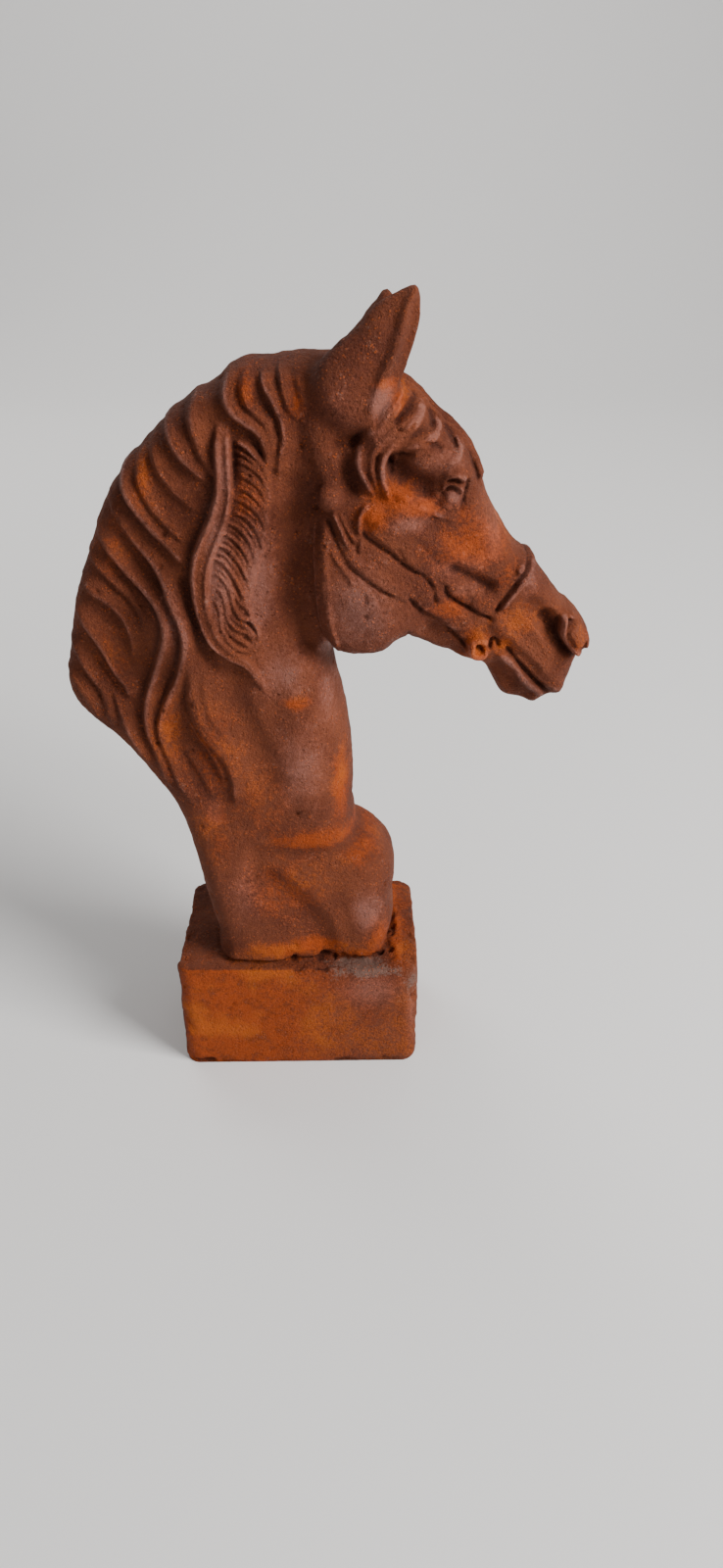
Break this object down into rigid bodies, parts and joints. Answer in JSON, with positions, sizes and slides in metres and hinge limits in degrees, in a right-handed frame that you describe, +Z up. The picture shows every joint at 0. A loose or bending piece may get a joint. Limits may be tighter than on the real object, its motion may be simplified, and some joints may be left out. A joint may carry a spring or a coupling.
{
  "type": "horse head sculpture",
  "caption": "Cast stone horse's head and neck with flowing mane, forelock and bridle, standing on a plain rectangular block, rust-coloured patina.",
  "frame": {"origin": "centre of the block's underside", "axes": "+X is the way the horse looks, +Z is up, -Y is the side the picture shows"},
  "size_m": [0.2687, 0.086, 0.4309],
  "materials": {
    "cast_stone": "rough cast concrete, rust-coloured patina, dull with a slight sheen on the high parts"
  },
  "bodies": {
    "root": {"horse_head_sculpture": "cast_stone"}
  },
  "joints": []
}
